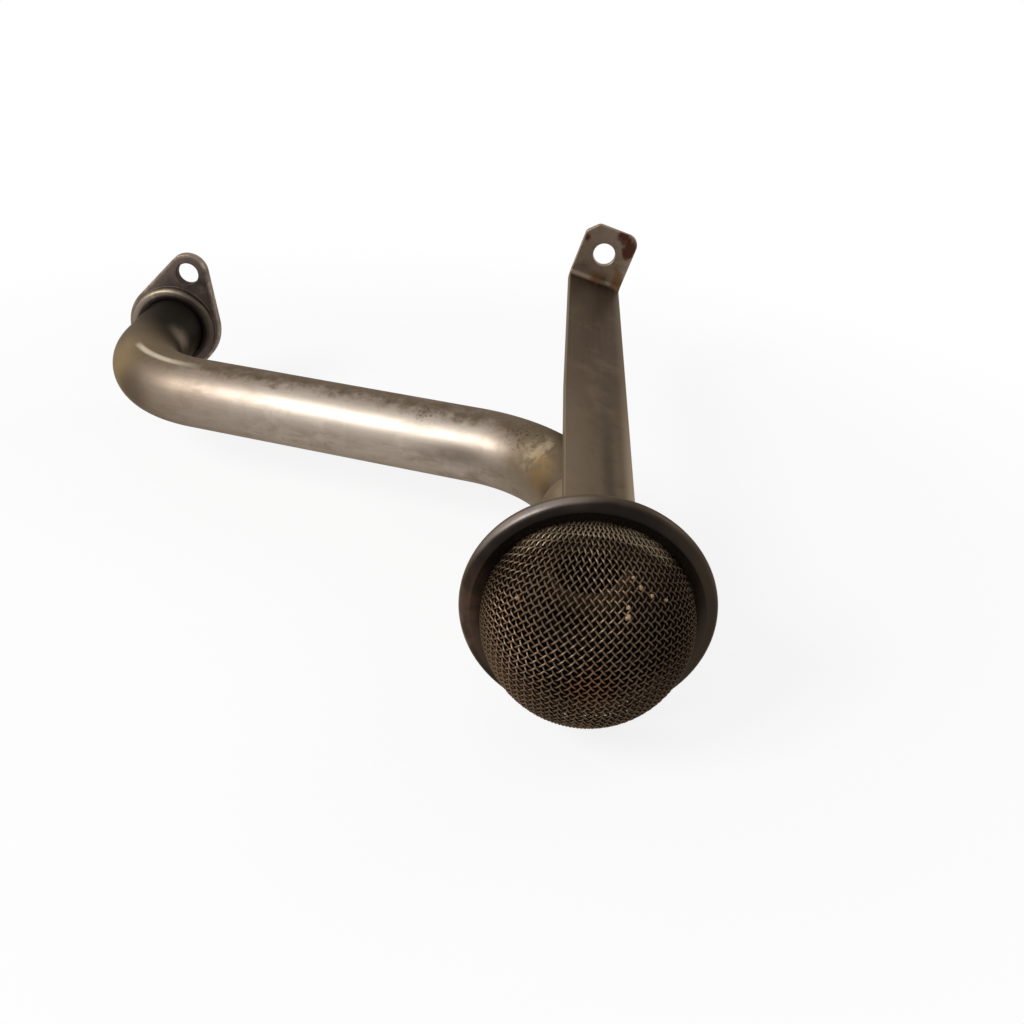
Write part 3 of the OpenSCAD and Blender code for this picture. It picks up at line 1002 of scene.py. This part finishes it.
def add_grit():
    """Crumbs caught in the cloth: small balls of uneven radius, sunk a little into the dome."""
    random = np.random.default_rng(SEED)
    ball, quads, fans = crumb_ball(CRUMB_ROWS, CRUMB_COLUMNS)
    points, faces = [], []
    for pixel, size in CRUMBS:
        spot = dome_spot(pixel)
        inward = unit(DOME_CENTRE - spot)
        uneven = random.uniform(*CRUMB_UNEVEN, (len(ball), 1))
        first = len(points) * len(ball)
        faces += (quads + first).tolist() + (fans + first).tolist()
        points.append(spot + size * MM * (CRUMB_SINK * inward + uneven * ball))
    new_piece("grit", np.concatenate(points), faces, grit_finish())


def ease(shape, edges, width, steps):
    """Cuts these edges back by a width and rounds them in a few steps."""
    bmesh.ops.bevel(shape, geom=edges, offset=width, segments=steps, profile=0.5, affect="EDGES",
                    clamp_overlap=True)


def eased_mesh(node, name, width):
    """A copy of a node's mesh with its sharp edges eased.

    Triangles in one plane are joined, the two corners of the tab's cut are rounded, and each sharp edge is
    cut back by the width and rounded.
    """
    shape = bmesh.new()
    shape.from_mesh(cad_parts[node].data)
    bmesh.ops.remove_doubles(shape, verts=shape.verts, dist=MERGE)
    bmesh.ops.dissolve_limit(shape, angle_limit=FLAT_ANGLE, verts=shape.verts, edges=shape.edges)
    cut = [edge for edge in shape.edges if abs((edge.verts[0].co - edge.verts[1].co).y) > CUT_DEPTH
           and CUT_ANGLES[0] < edge.calc_face_angle(0) < CUT_ANGLES[1]]
    ease(shape, cut, CUT_EASE, CUT_STEPS)
    sharp = [edge for edge in shape.edges if edge.calc_face_angle(0) > SHARP_ANGLE]
    ease(shape, sharp, width, EASE_STEPS)
    bmesh.ops.triangulate(shape, faces=shape.faces)
    mesh = bpy.data.meshes.new(name)
    shape.to_mesh(mesh)
    shape.free()
    return mesh


def shade_by_area(mesh):
    """Smooth shading of a mesh of triangles that keeps its large flats flat.

    A point's shading direction is the mean of its faces' directions, weighted by their areas.
    """
    mesh.shade_smooth()
    area = np.empty(len(mesh.polygons))
    mesh.polygons.foreach_get("area", area)
    facing = np.empty((len(mesh.polygons), 3))
    mesh.polygons.foreach_get("normal", facing.ravel())
    corner = np.empty(len(mesh.loops), dtype=int)
    mesh.loops.foreach_get("vertex_index", corner)
    shading = np.zeros((len(mesh.vertices), 3))
    np.add.at(shading, corner, np.repeat(facing * area[:, None], 3, axis=0))
    mesh.normals_split_custom_set_from_vertices(unit(shading).tolist())


def add_softened(node, name, width, material):
    """A pressed or sheared piece with eased edges, in place of its sharp-edged solid."""
    mesh = eased_mesh(node, name, width)
    shade_by_area(mesh)
    piece = place_piece(name, mesh, material)
    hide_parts(node)


def dress(node, material):
    """Gives a CAD node its finish."""
    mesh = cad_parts[node].data
    mesh.materials.clear()
    mesh.materials.append(material)


bpy.context.scene.view_settings.view_transform = "Standard"
add_camera()
add_studio()
add_tube()
add_screen()
add_grit()
add_softened("support_strut", "folded_strut", STRUT_EASE, strut_finish())
add_softened("mounting_flange", "pressed_flange", FLANGE_EASE, flange_finish())
dress("rim_ring", rim_finish())
dress("strainer_cup", cup_finish())
